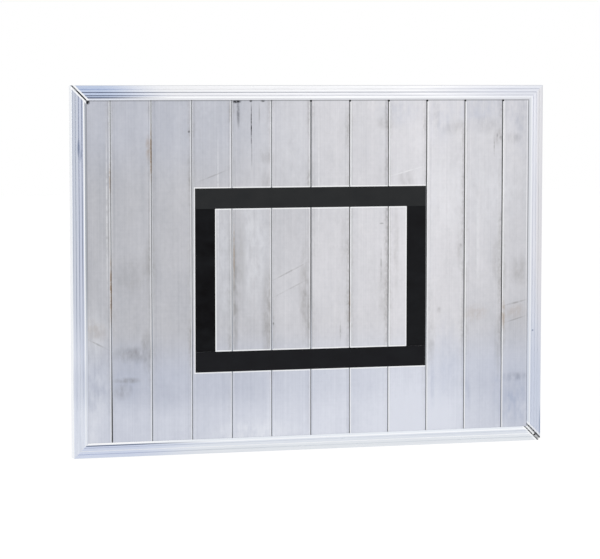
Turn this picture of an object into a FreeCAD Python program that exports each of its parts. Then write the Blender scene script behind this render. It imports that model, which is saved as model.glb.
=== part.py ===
"""Aluminium basketball backboard: interlocking hollow planks in a mitred edge frame, with rear rails.

Millimetres. +X runs to the right as a player sees the board, +Z is up and the playing face looks along -Y.
The origin is the middle of the rear bolt pattern, on the plane where the board meets what it is bolted to.
"""

import FreeCAD
import Part

import math
import os

from FreeCAD import Vector

# Board
board_width = 1200.0
board_height = 900.0

# Planks: hollow extrusions with a nose on the left edge and a groove on the right edge
plank_pitch = 100.0
plank_thickness = 25.0
plank_front_wall = 2.5
plank_rear_wall = 2.0
plank_web = 2.0
plank_chambers = 4
plank_joint_gap = 0.8
plank_front_chamfer = 1.5
plank_rear_chamfer = 0.8
plank_groove_lip = 3.5
plank_groove_depth = 6.0
plank_nose_chamfer = 1.0
plank_nose_fit = 0.2
plank_nose_end_gap = 0.6
plank_joint_shift = 5.0

# Edge frame: one extrusion with a cleat chamber along its outside and a slot that takes the planks
frame_front_lip = 3.5
frame_front_lip_width = 36.0
frame_rear_lip = 2.5
frame_rear_lip_width = 36.0
frame_rear_chamfer = 1.0
frame_wall = 2.5
frame_chamber = 9.5
frame_outer_round = 2.5
frame_rear_round = 1.0
frame_line_count = 3
frame_line_first = 9.5
frame_line_pitch = 7.75
frame_line_width = 1.8
frame_line_depth = 0.9
frame_bevel_width = 6.0
frame_bevel_tip = 1.0
frame_slot_fit = 0.25
frame_plank_end_gap = 0.5
frame_mitre_gap_top_left = 2.5
frame_mitre_gap_bottom_right = 6.0

# Corner cleats: angles that slide into the frame chamber behind each mitre
cleat_leg = 78.0
cleat_fit = 0.15
cleat_tip_chamfer = 1.5
cleat_rivet_first = 34.0
cleat_rivet_pitch = 28.0
cleat_rivet_count = 2
cleat_rivet_bite = 6.0
cleat_hole_end_gap = 0.5

# Blind rivets
rivet_diameter = 4.8
rivet_head_diameter = 9.5
rivet_head_height = 1.6
rivet_tail_diameter = 7.0
rivet_tail_length = 4.0
rivet_hole_clearance = 0.1

# Rear rails: hat sections riveted across the backs of the planks
rail_spacing = 500.0
rail_depth = 30.0
rail_crown_width = 50.0
rail_flange = 25.0
rail_wall = 3.0
rail_round = 3.0
rail_end_gap = 12.0

# Threaded inserts in the rail crowns, which take the mounting bolts
insert_spacing = 600.0
insert_bore = 10.0
insert_shank_diameter = 13.0
insert_flange_diameter = 18.0
insert_flange = 1.6
insert_collar_diameter = 16.5
insert_collar_length = 5.0
insert_length = 22.0
insert_hole_clearance = 0.1

# Target rectangle: four strips of black film
target_width = 590.0
target_height = 450.0
target_line = 50.0
target_above_bottom = 200.0
target_shift = 2.5
target_film = 0.3

# One overrun serves every cut
cut_overrun = 5.0

# Depths, from the bolting plane forwards
crown_y = -insert_flange
plank_back_y = crown_y - rail_depth
plank_front_y = plank_back_y - plank_thickness
frame_rear_y = plank_back_y + frame_slot_fit + frame_rear_lip
frame_front_y = plank_front_y - frame_slot_fit - frame_front_lip
frame_depth = frame_rear_y - frame_front_y

# The plank panel inside the frame
frame_seat = frame_wall + frame_chamber + frame_wall
panel_half_width = board_width / 2 - frame_seat - frame_plank_end_gap
panel_half_height = board_height / 2 - frame_seat - frame_plank_end_gap
plank_count = math.ceil(2 * panel_half_width / plank_pitch)

# Derived sizes that several pieces share
rivet_hole = rivet_diameter + 2 * rivet_hole_clearance
chamber_middle = frame_wall + frame_chamber / 2


def closed_wire(points):
    """A closed wire through points. A pair in the list is an arc: its middle and its end."""
    edges = []
    start = points[0]
    for point in points[1:] + [points[0]]:
        if isinstance(point, tuple):
            middle, end = point
            edges.append(Part.Arc(start, middle, end).toShape())
        else:
            end = point
            edges.append(Part.LineSegment(start, end).toShape())
        start = end
    return Part.Wire(edges)


def face_of(points):
    return Part.Face(closed_wire(points))


def box_between(low, high):
    """A box from its lowest corner to its highest."""
    size = high - low
    return Part.makeBox(size.x, size.y, size.z, low)


def hole_along_y(x, y_start, y_end, z, diameter):
    return Part.makeCylinder(diameter / 2, y_end - y_start, Vector(x, y_start, z), Vector(0, 1, 0))


def revolved_along_y(profile, x, y, z):
    """A turned solid: profile is (radius, distance along +Y) points, moved to the axis at x, z."""
    points = []
    for entry in profile:
        if isinstance(entry[0], tuple):
            points.append(tuple(Vector(radius, along, 0) for radius, along in entry))
        else:
            points.append(Vector(entry[0], entry[1], 0))
    solid = face_of(points).revolve(Vector(0, 0, 0), Vector(0, 1, 0), 360)
    solid.translate(Vector(x, y, z))
    return solid


# Planks


def plank_left(index):
    """X of a plank's left joint line, with plank 0 at the left end of the panel."""
    return (index - plank_count / 2) * plank_pitch - plank_joint_shift


plank_body_left = plank_joint_gap / 2
plank_body_right = plank_pitch - plank_joint_gap / 2
plank_groove_floor = plank_body_right - plank_groove_depth
plank_nose_length = plank_joint_gap + plank_groove_depth - plank_nose_end_gap
plank_nose_front = plank_groove_lip + plank_nose_fit
plank_nose_rear = plank_thickness - plank_nose_front
chamber_left = plank_body_left + plank_web
chamber_right = plank_groove_floor - plank_web
chamber_width = (chamber_right - chamber_left - (plank_chambers - 1) * plank_web) / plank_chambers


def chamber_start(number):
    return chamber_left + number * (chamber_width + plank_web)


def plank_outline():
    """(x, depth from the front) points round the outside of one plank's section."""
    lip_rear = plank_thickness - plank_groove_lip
    nose_tip = plank_body_left - plank_nose_length
    return [
        (plank_body_left + plank_front_chamfer, 0),
        (plank_body_right - plank_front_chamfer, 0),
        (plank_body_right, plank_front_chamfer),
        (plank_body_right, plank_groove_lip),
        (plank_groove_floor, plank_groove_lip),
        (plank_groove_floor, lip_rear),
        (plank_body_right, lip_rear),
        (plank_body_right, plank_thickness - plank_rear_chamfer),
        (plank_body_right - plank_rear_chamfer, plank_thickness),
        (plank_body_left + plank_rear_chamfer, plank_thickness),
        (plank_body_left, plank_thickness - plank_rear_chamfer),
        (plank_body_left, plank_nose_rear),
        (nose_tip + plank_nose_chamfer, plank_nose_rear),
        (nose_tip, plank_nose_rear - plank_nose_chamfer),
        (nose_tip, plank_nose_front + plank_nose_chamfer),
        (nose_tip + plank_nose_chamfer, plank_nose_front),
        (plank_body_left, plank_nose_front),
        (plank_body_left, plank_front_chamfer),
    ]


def plank_hollows():
    """(left, right, front, rear) of the hollow nose and of each chamber."""
    nose_left = plank_body_left - plank_nose_length + plank_web
    hollows = [(nose_left, plank_body_left, plank_nose_front + plank_web, plank_nose_rear - plank_web)]
    for number in range(plank_chambers):
        left = chamber_start(number)
        hollows.append((left, left + chamber_width, plank_front_wall, plank_thickness - plank_rear_wall))
    return hollows


def plank_rivet_x(index):
    """Where a plank is riveted: in its last chamber left of the board's middle, in its first to the right."""
    number = plank_chambers - 1 if index < plank_count / 2 else 0
    return plank_left(index) + chamber_start(number) + chamber_width / 2


def rail_heights():
    return [rail_spacing / 2, -rail_spacing / 2]


def rail_rivet_heights(rail_z):
    """The two rivet rows of one rail, in the middle of its flanges."""
    offset = (rail_crown_width + rail_flange) / 2
    return [rail_z + offset, rail_z - offset]


def frame_rivet_height(side):
    """The rivet row of the top or bottom member, in the middle of the rear lip over the planks."""
    inset = (frame_seat + frame_plank_end_gap + frame_rear_lip_width) / 2
    return edge_point(side, 0, inset, 0).z


def make_plank(index):
    left = plank_left(index)
    bottom = -panel_half_height

    def at(x, depth):
        return Vector(left + x, plank_front_y + depth, bottom)

    section = face_of([at(x, depth) for x, depth in plank_outline()])
    hollows = []
    for hollow_left, hollow_right, front, rear in plank_hollows():
        corners = [(hollow_left, front), (hollow_right, front), (hollow_right, rear), (hollow_left, rear)]
        hollows.append(face_of([at(x, depth) for x, depth in corners]))
    plank = section.cut(hollows).extrude(Vector(0, 0, 2 * panel_half_height))
    panel = box_between(
        Vector(-panel_half_width, plank_front_y - cut_overrun, bottom - cut_overrun),
        Vector(panel_half_width, plank_back_y + cut_overrun, -bottom + cut_overrun),
    )
    if index in (0, plank_count - 1):
        plank = plank.common(panel)
    heights = [frame_rivet_height("top"), frame_rivet_height("bottom")]
    for rail_z in rail_heights():
        heights += rail_rivet_heights(rail_z)
    x = plank_rivet_x(index)
    start = plank_back_y - plank_rear_wall - plank_web
    end = plank_back_y + cut_overrun
    return plank.cut([hole_along_y(x, start, end, z, rivet_hole) for z in heights])


# Edge frame


def round_corner(corner, along_in, along_out, radius):
    """Start point and arc of a rounded square corner, from the side along_in to the side along_out."""
    centre = corner + (along_in + along_out) * radius
    middle = centre - (along_in + along_out).normalize() * radius
    return corner + along_in * radius, (middle, corner + along_out * radius)


def frame_outline():
    """(distance in from the edge, depth from the front) vectors round the outside of the frame's section."""
    inwards = Vector(1, 0, 0)
    rearwards = Vector(0, 1, 0)
    front_start, front_arc = round_corner(Vector(0, 0, 0), rearwards, inwards, frame_outer_round)
    rear_start, rear_arc = round_corner(Vector(0, frame_depth, 0), inwards, -rearwards, frame_rear_round)
    points = [front_start, front_arc]
    for number in range(frame_line_count):
        place = frame_line_first + number * frame_line_pitch
        points.append(Vector(place - frame_line_width / 2, 0, 0))
        points.append(Vector(place, frame_line_depth, 0))
        points.append(Vector(place + frame_line_width / 2, 0, 0))
    slot_rear = frame_depth - frame_rear_lip
    points += [
        Vector(frame_front_lip_width - frame_bevel_width, 0, 0),
        Vector(frame_front_lip_width, frame_front_lip - frame_bevel_tip, 0),
        Vector(frame_front_lip_width, frame_front_lip, 0),
        Vector(frame_seat, frame_front_lip, 0),
        Vector(frame_seat, slot_rear, 0),
        Vector(frame_rear_lip_width, slot_rear, 0),
        Vector(frame_rear_lip_width, frame_depth - frame_rear_chamfer, 0),
        Vector(frame_rear_lip_width - frame_rear_chamfer, frame_depth, 0),
        rear_start,
        rear_arc,
    ]
    return points


def frame_chamber_outline():
    inner = frame_wall + frame_chamber
    slot_rear = frame_depth - frame_rear_lip
    return [
        Vector(frame_wall, frame_front_lip, 0),
        Vector(inner, frame_front_lip, 0),
        Vector(inner, slot_rear, 0),
        Vector(frame_wall, slot_rear, 0),
    ]


def edge_point(side, along, inset, y):
    """A point of a frame member, along its length from the middle and inset from the board's edge."""
    if side == "top":
        return Vector(along, y, board_height / 2 - inset)
    if side == "bottom":
        return Vector(along, y, inset - board_height / 2)
    if side == "left":
        return Vector(inset - board_width / 2, y, along)
    return Vector(board_width / 2 - inset, y, along)


def half_length(side):
    return board_width / 2 if side in ("top", "bottom") else board_height / 2


def mitre_setbacks(side):
    """Setback of a member's low and high ends: only the top left and bottom right mitres stand open."""
    top_left = frame_mitre_gap_top_left / math.sqrt(2)
    bottom_right = frame_mitre_gap_bottom_right / math.sqrt(2)
    if side == "top":
        return top_left, 0
    if side == "left":
        return 0, top_left
    if side == "bottom":
        return 0, bottom_right
    return bottom_right, 0


def make_frame_member(side):
    half = half_length(side)

    def section(points):
        placed = []
        for point in points:
            if isinstance(point, tuple):
                placed.append(tuple(edge_point(side, -half, p.x, frame_front_y + p.y) for p in point))
            else:
                placed.append(edge_point(side, -half, point.x, frame_front_y + point.y))
        return face_of(placed)

    length = edge_point(side, half, 0, 0) - edge_point(side, -half, 0, 0)
    bar = section(frame_outline()).cut(section(frame_chamber_outline())).extrude(length)
    reach = max(frame_front_lip_width, frame_rear_lip_width) + cut_overrun
    low, high = mitre_setbacks(side)
    trapezium = [
        (low - half - cut_overrun, -cut_overrun),
        (half - high + cut_overrun, -cut_overrun),
        (half - high - reach, reach),
        (low - half + reach, reach),
    ]
    start_y = frame_front_y - cut_overrun
    cutter = face_of([edge_point(side, along, inset, start_y) for along, inset in trapezium])
    member = bar.common(cutter.extrude(Vector(0, frame_depth + 2 * cut_overrun, 0)))
    start = frame_rear_y - frame_rear_lip
    end = frame_rear_y + cut_overrun
    return member.cut([hole_along_y(x, start, end, z, rivet_hole) for x, z in rivets_in_member(side)])


def rivets_in_member(side):
    """(x, z) of every rivet through the rear of one member, into the cleats and into the planks."""
    places = cleat_rivets_at(side, -1) + cleat_rivets_at(side, 1)
    if side in ("top", "bottom"):
        places += [(plank_rivet_x(index), frame_rivet_height(side)) for index in range(plank_count)]
    return places


def cleat_rivets_at(side, end):
    """(x, z) of the cleat rivets near the low end (-1) or the high end (1) of a member."""
    places = []
    for number in range(cleat_rivet_count):
        from_corner = cleat_rivet_first + number * cleat_rivet_pitch
        point = edge_point(side, end * (half_length(side) - from_corner), chamber_middle, 0)
        places.append((point.x, point.z))
    return places


# Corner cleats

cleat_front_y = frame_front_y + frame_front_lip + cleat_fit
cleat_rear_y = frame_rear_y - frame_rear_lip - cleat_fit
corners = {"top_left": (-1, 1), "top_right": (1, 1), "bottom_left": (-1, -1), "bottom_right": (1, -1)}


def cleat_rivet_places(corner):
    """(x, z) of the rivets that hold one cleat, on both of its legs."""
    right, up = corners[corner]
    level_side = "top" if up > 0 else "bottom"
    upright_side = "right" if right > 0 else "left"
    return cleat_rivets_at(level_side, right) + cleat_rivets_at(upright_side, up)


def make_cleat(corner):
    right, up = corners[corner]
    outer = frame_wall + cleat_fit
    inner = frame_wall + frame_chamber - cleat_fit
    tip = cleat_tip_chamfer
    angle = [
        (outer, outer),
        (cleat_leg - tip, outer),
        (cleat_leg, outer + tip),
        (cleat_leg, inner - tip),
        (cleat_leg - tip, inner),
        (inner, inner),
        (inner, cleat_leg - tip),
        (inner - tip, cleat_leg),
        (outer + tip, cleat_leg),
        (outer, cleat_leg - tip),
    ]
    points = []
    for from_side, from_end in angle:
        x = right * (board_width / 2 - from_side)
        z = up * (board_height / 2 - from_end)
        points.append(Vector(x, cleat_front_y, z))
    cleat = face_of(points).extrude(Vector(0, cleat_rear_y - cleat_front_y, 0))
    hole_depth = cleat_rivet_bite + cleat_hole_end_gap
    holes = []
    for x, z in cleat_rivet_places(corner):
        holes.append(hole_along_y(x, cleat_rear_y - hole_depth, cleat_rear_y + cut_overrun, z, rivet_hole))
    return cleat.cut(holes)


# Rivets


def rivet_dome():
    """Head of a rivet as an arc from its crown to its rim."""
    radius = rivet_head_diameter / 2
    ball = (radius**2 + rivet_head_height**2) / (2 * rivet_head_height)
    half_angle = math.asin(radius / ball) / 2
    middle = (ball * math.sin(half_angle), rivet_head_height - ball * (1 - math.cos(half_angle)))
    return (0, rivet_head_height), (middle, (radius, 0))


def make_blind_rivet(x, y, z, grip):
    """A set blind rivet: head on the surface at y, tail swelled behind the grip."""
    crown, dome = rivet_dome()
    shank = rivet_diameter / 2
    tail = rivet_tail_diameter / 2
    profile = [
        crown,
        dome,
        (shank, 0),
        (shank, -grip),
        (tail, -grip),
        (shank, -grip - rivet_tail_length),
        (0, -grip - rivet_tail_length),
    ]
    return revolved_along_y(profile, x, y, z)


def make_cleat_rivet(x, z):
    """A plain shank rivet from the frame's rear face into a cleat."""
    crown, dome = rivet_dome()
    shank = rivet_diameter / 2
    reach = frame_rear_lip + cleat_fit + cleat_rivet_bite
    return revolved_along_y([crown, dome, (shank, 0), (shank, -reach), (0, -reach)], x, frame_rear_y, z)


def make_frame_rivets():
    grip = frame_rear_lip + frame_slot_fit + plank_rear_wall
    rivets = []
    for side in ("top", "bottom"):
        for index in range(plank_count):
            x = plank_rivet_x(index)
            rivets.append(make_blind_rivet(x, frame_rear_y, frame_rivet_height(side), grip))
    return Part.makeCompound(rivets)


def make_cleat_rivets():
    rivets = []
    for corner in corners:
        rivets += [make_cleat_rivet(x, z) for x, z in cleat_rivet_places(corner)]
    return Part.makeCompound(rivets)


def make_rail_rivets(rail_z):
    rivets = []
    for z in rail_rivet_heights(rail_z):
        for index in range(plank_count):
            grip = rail_wall + plank_rear_wall
            rivets.append(make_blind_rivet(plank_rivet_x(index), plank_back_y + rail_wall, z, grip))
    return Part.makeCompound(rivets)


# Rear rails and their threaded inserts


def rail_half_length():
    return board_width / 2 - frame_rear_lip_width - rail_end_gap


def make_rail(rail_z):
    start_x = -rail_half_length()
    half_crown = rail_crown_width / 2
    half_foot = half_crown + rail_flange

    def at(across, standoff):
        return Vector(start_x, plank_back_y + standoff, rail_z + across)

    crown_corners = []
    for side in (-1, 1):
        corner = at(side * half_crown, rail_depth)
        down = Vector(0, -1, 0)
        inwards = Vector(0, 0, -side)
        order = (down, inwards) if side < 0 else (inwards, down)
        crown_corners += round_corner(corner, *order, rail_round)
    section = face_of(
        [
            at(-half_foot, 0),
            at(-half_foot, rail_wall),
            at(-half_crown, rail_wall),
            *crown_corners,
            at(half_crown, rail_wall),
            at(half_foot, rail_wall),
            at(half_foot, 0),
            at(half_crown - rail_wall, 0),
            at(half_crown - rail_wall, rail_depth - rail_wall),
            at(rail_wall - half_crown, rail_depth - rail_wall),
            at(rail_wall - half_crown, 0),
        ]
    )
    rail = section.extrude(Vector(2 * rail_half_length(), 0, 0))
    holes = []
    for z in rail_rivet_heights(rail_z):
        for index in range(plank_count):
            x = plank_rivet_x(index)
            holes.append(hole_along_y(x, plank_back_y, plank_back_y + rail_wall + cut_overrun, z, rivet_hole))
    insert_hole = insert_shank_diameter + 2 * insert_hole_clearance
    for x in (-insert_spacing / 2, insert_spacing / 2):
        holes.append(hole_along_y(x, crown_y - rail_wall, crown_y + cut_overrun, rail_z, insert_hole))
    return rail.cut(holes)


def make_inserts():
    """Flanged rivet nuts, swelled behind the rail crown. The bore is the bolt's nominal size."""
    bore = insert_bore / 2
    shank = insert_shank_diameter / 2
    collar = insert_collar_diameter / 2
    grip = insert_flange + rail_wall
    profile = [
        (bore, 0),
        (insert_flange_diameter / 2, 0),
        (insert_flange_diameter / 2, -insert_flange),
        (shank, -insert_flange),
        (shank, -grip),
        (collar, -grip),
        (shank, -grip - insert_collar_length),
        (shank, -insert_length),
        (bore, -insert_length),
    ]
    inserts = []
    for z in rail_heights():
        for x in (-insert_spacing / 2, insert_spacing / 2):
            inserts.append(revolved_along_y(profile, x, 0, z))
    return Part.makeCompound(inserts)


# Target rectangle


def make_target_strips():
    """Top and bottom strips run the full width, and the side strips fit between them."""
    left_edge = -target_width / 2 - target_shift
    right_edge = left_edge + target_width
    bottom = target_above_bottom - board_height / 2
    top = bottom + target_height
    inner_bottom = bottom + target_line
    inner_top = top - target_line
    extents = {
        "target_strip_top": (left_edge, right_edge, inner_top, top),
        "target_strip_bottom": (left_edge, right_edge, bottom, inner_bottom),
        "target_strip_left": (left_edge, left_edge + target_line, inner_bottom, inner_top),
        "target_strip_right": (right_edge - target_line, right_edge, inner_bottom, inner_top),
    }
    strips = {}
    for name, (left, right, low, high) in extents.items():
        front = Vector(left, plank_front_y - target_film, low)
        strips[name] = box_between(front, Vector(right, plank_front_y, high))
    return strips


def make_all():
    nodes = {}
    for index in range(plank_count):
        nodes[f"plank_{index + 1:02d}"] = make_plank(index)
    for side in ("top", "bottom", "left", "right"):
        nodes[f"frame_{side}"] = make_frame_member(side)
    for corner in corners:
        nodes[f"corner_cleat_{corner}"] = make_cleat(corner)
    nodes["corner_cleat_rivets"] = make_cleat_rivets()
    nodes["frame_rivets"] = make_frame_rivets()
    for name, rail_z in zip(("upper", "lower"), rail_heights()):
        nodes[f"rear_rail_{name}"] = make_rail(rail_z)
        nodes[f"rear_rail_{name}_rivets"] = make_rail_rivets(rail_z)
    nodes["mounting_inserts"] = make_inserts()
    nodes.update(make_target_strips())
    return nodes


os.makedirs("parts", exist_ok=True)
for node_name, node_shape in make_all().items():
    if not node_shape.isValid():
        raise ValueError(f"{node_name} is not a valid shape")
    node_shape.exportStep(f"parts/{node_name}.step")
    print(node_name, len(node_shape.Solids), "solids", round(node_shape.Volume), "mm3")
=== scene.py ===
# %% [markdown]
# # Dressing a basketball backboard
#
# The board is a panel of hollow aluminium planks in an aluminium edge frame, with a black rectangle of film
# on its face. The imported model already holds every solid in metres, so this lesson only adds what a drawing
# leaves out: how each metal was made and has weathered, how the film lies over the joints, and the small
# steel parts behind. The box of the imported model is measured first, and the floor is set below it.

# %% load the frame
import math

import bmesh
import bpy
from mathutils import Matrix, Vector


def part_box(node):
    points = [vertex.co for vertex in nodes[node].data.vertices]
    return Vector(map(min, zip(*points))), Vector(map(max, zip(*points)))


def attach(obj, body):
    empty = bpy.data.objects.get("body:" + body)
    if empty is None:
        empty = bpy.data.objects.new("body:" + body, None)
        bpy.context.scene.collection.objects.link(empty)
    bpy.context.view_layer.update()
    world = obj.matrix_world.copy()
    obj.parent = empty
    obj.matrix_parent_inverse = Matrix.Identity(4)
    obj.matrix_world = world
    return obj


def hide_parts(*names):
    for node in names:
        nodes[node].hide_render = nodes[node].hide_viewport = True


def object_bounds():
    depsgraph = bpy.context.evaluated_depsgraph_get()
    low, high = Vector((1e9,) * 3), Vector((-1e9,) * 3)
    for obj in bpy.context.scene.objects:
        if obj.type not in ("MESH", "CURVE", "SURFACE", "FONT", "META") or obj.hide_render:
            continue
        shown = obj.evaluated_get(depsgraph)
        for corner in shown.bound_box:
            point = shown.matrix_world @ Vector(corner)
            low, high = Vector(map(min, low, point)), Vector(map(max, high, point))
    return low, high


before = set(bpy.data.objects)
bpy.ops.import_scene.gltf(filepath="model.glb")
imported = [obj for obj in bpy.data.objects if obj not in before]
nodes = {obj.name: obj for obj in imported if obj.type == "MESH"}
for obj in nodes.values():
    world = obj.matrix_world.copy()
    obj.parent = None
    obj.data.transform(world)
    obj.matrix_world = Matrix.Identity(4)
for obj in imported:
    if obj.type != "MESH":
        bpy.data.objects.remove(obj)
cad_low, cad_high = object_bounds()
MM = 0.001
print("nodes:", len(nodes), "size in mm:", [round(side / MM, 1) for side in cad_high - cad_low])

# %% [markdown]
# ## Layout
#
# Patterns have to meet the planks and the frame, so a few sizes of the board are named here once. The
# planks stand on a 100 mm pitch and their joints lie 5 mm to the left of an even layout. The face of the
# planks, the face of the frame and the back of the planks are three planes across the board.

# %% layout
pitch = 100 * MM
joint_x = -5 * MM
planks_each_side = 6
plank_low, plank_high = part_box("plank_06")
frame_low, frame_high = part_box("frame_top")
plank_front = plank_low.y
plank_back = plank_high.y
frame_front = frame_low.y
half_width = frame_high.x
half_height = frame_high.z
lip_width = 36 * MM
seen_half_width = half_width - lip_width
seen_half_height = half_height - lip_width
film_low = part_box("target_strip_bottom")[0]
film_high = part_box("target_strip_top")[1]
film_width = 50 * MM
print("plank face at", round(plank_front / MM, 2), "mm, frame face at", round(frame_front / MM, 2), "mm")
print("film from", [round(v / MM, 1) for v in film_low], "to", [round(v / MM, 1) for v in film_high])

# %% [markdown]
# ## Helpers
#
# Colours are read off as sRGB hex values, and one function turns them into the linear numbers that shaders
# use. One more adds a shader node, sets it up and links it, so that every material below is a plain list of
# nodes, and the settings that many nodes share have names. A range that isn't given runs from 0 to 1. The
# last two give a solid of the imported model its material, and turn a finished bmesh into an object that
# rides on the board.


# %% helpers
MULTIPLY = {"operation": "MULTIPLY"}
SUBTRACT = {"operation": "SUBTRACT"}
ABSOLUTE = {"operation": "ABSOLUTE"}
MAXIMUM = {"operation": "MAXIMUM"}
LESS_THAN = {"operation": "LESS_THAN"}
GREATER_THAN = {"operation": "GREATER_THAN"}
COLOURS = {"data_type": "RGBA"}
SMOOTH = {"interpolation_type": "SMOOTHSTEP"}


def linear(hex_code):
    """Linear RGBA of an sRGB hex colour."""
    shares = [int(hex_code[start:start + 2], 16) / 255 for start in (1, 3, 5)]
    return tuple(s / 12.92 if s <= 0.04045 else ((s + 0.055) / 1.055) ** 2.4 for s in shares) + (1.0,)


def add(tree, kind, settings=None, sockets=None):
    """Outputs of a new node with its settings. A socket is given a value, or another output to link."""
    node = tree.nodes.new(kind)
    for name, value in (settings or {}).items():
        setattr(node, name, value)
    for name, value in (sockets or {}).items():
        if isinstance(value, bpy.types.NodeSocket):
            tree.links.new(value, node.inputs[name])
        else:
            node.inputs[name].default_value = value
    return node.outputs


def new_material(name):
    """A material with an empty tree, and its tree."""
    material = bpy.data.materials.new(name)
    material.use_nodes = True
    material.node_tree.nodes.clear()
    return material, material.node_tree


def finish_surface(tree, sockets):
    """Principled shader and output, which every surface ends in."""
    shader = add(tree, "ShaderNodeBsdfPrincipled", {}, sockets)
    add(tree, "ShaderNodeOutputMaterial", {}, {"Surface": shader[0]})


def finish_metal(tree, colour, dulling, gloss, relief, depth):
    """Metal between two roughnesses as a pattern runs between two values, with a fine relief."""
    pattern, start, end = dulling
    roughness = add(tree, "ShaderNodeMapRange", {}, {
        "Value": pattern, "From Min": start, "From Max": end, "To Min": gloss[0], "To Max": gloss[1],
    })[0]
    bump = add(tree, "ShaderNodeBump", {}, {"Strength": 0.5, "Distance": depth, "Height": relief})[0]
    finish_surface(tree, {"Base Color": colour, "Metallic": 1.0, "Roughness": roughness, "Normal": bump})


def dress(name, material):
    """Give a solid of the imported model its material."""
    slots = nodes[name].data.materials
    slots.clear()
    slots.append(material)


def add_piece(name, mesh_edit, material):
    """An object from a bmesh, at the origin, riding on the board."""
    mesh = bpy.data.meshes.new(name)
    mesh_edit.to_mesh(mesh)
    mesh_edit.free()
    mesh.materials.append(material)
    piece = bpy.data.objects.new(name, mesh)
    bpy.context.scene.collection.objects.link(piece)
    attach(piece, "root")
    print(name, len(mesh.polygons), "faces")
    return piece


print("helpers ready")

# %% [markdown]
# ## The planks: mill-finish extruded aluminium, weathered
#
# A plank comes out of a die, so fine lines run along it from end to end, and no two lengths are quite the
# same grey. Outdoors the metal dulls and dirt gathers along the joints. Light and shade are painted into the
# colour as well: lighter from the left towards the right and darker again at the right end, a painted cool
# reflection towards the foot, and a painted shadow under the frame's lip. Painting all of it by hand would be
# one way. Here noise patterns are stretched to the real widths, in Object coordinates, so that they stay on
# the planks from any side, and only the few marks that the eye picks out are listed one by one.
#
# The first function works out where on its plank a point lies, and the next two give noise with a real
# grain size.


# %% place on the plank
def plank_place(tree):
    """Coordinates, their parts, plank number, place across the plank from 0 to 1, and nearness to a joint."""
    coords = add(tree, "ShaderNodeTexCoord")["Object"]
    place = add(tree, "ShaderNodeSeparateXYZ", {}, {0: coords})
    planks = add(tree, "ShaderNodeMapRange", {"clamp": False}, {
        "Value": place["X"], "From Min": joint_x, "From Max": joint_x + pitch,
    })[0]
    number = add(tree, "ShaderNodeMath", {"operation": "FLOOR"}, {0: planks})[0]
    across = add(tree, "ShaderNodeMath", SUBTRACT, {0: planks, 1: number})[0]
    off_middle = add(tree, "ShaderNodeMath", SUBTRACT, {0: across, 1: 0.5})[0]
    off_middle = add(tree, "ShaderNodeMath", ABSOLUTE, {0: off_middle})[0]
    near_joint = add(tree, "ShaderNodeMapRange", SMOOTH, {
        "Value": off_middle, "From Min": 0.34, "From Max": 0.49,
    })[0]
    return coords, place, number, across, near_joint


def stretched_noise(tree, coords, width, length, detail):
    """Noise whose grains are width across the board and length up it."""
    mapped = add(tree, "ShaderNodeMapping", {"vector_type": "TEXTURE"}, {
        "Vector": coords, "Scale": (width, width, length),
    })[0]
    return add(tree, "ShaderNodeTexNoise", {}, {
        "Vector": mapped, "Scale": 1.0, "Detail": detail, "Roughness": 0.6,
    })["Fac"]


def noise_share(tree, coords, grain, noise_range, share_range):
    """Stretched noise, with its middle range spread over a range of shares."""
    noise = stretched_noise(tree, coords, *grain)
    return add(tree, "ShaderNodeMapRange", {}, {
        "Value": noise, "From Min": noise_range[0], "From Max": noise_range[1],
        "To Min": share_range[0], "To Max": share_range[1],
    })[0]


print("plank number 0 starts at", joint_x / MM, "mm")


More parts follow.
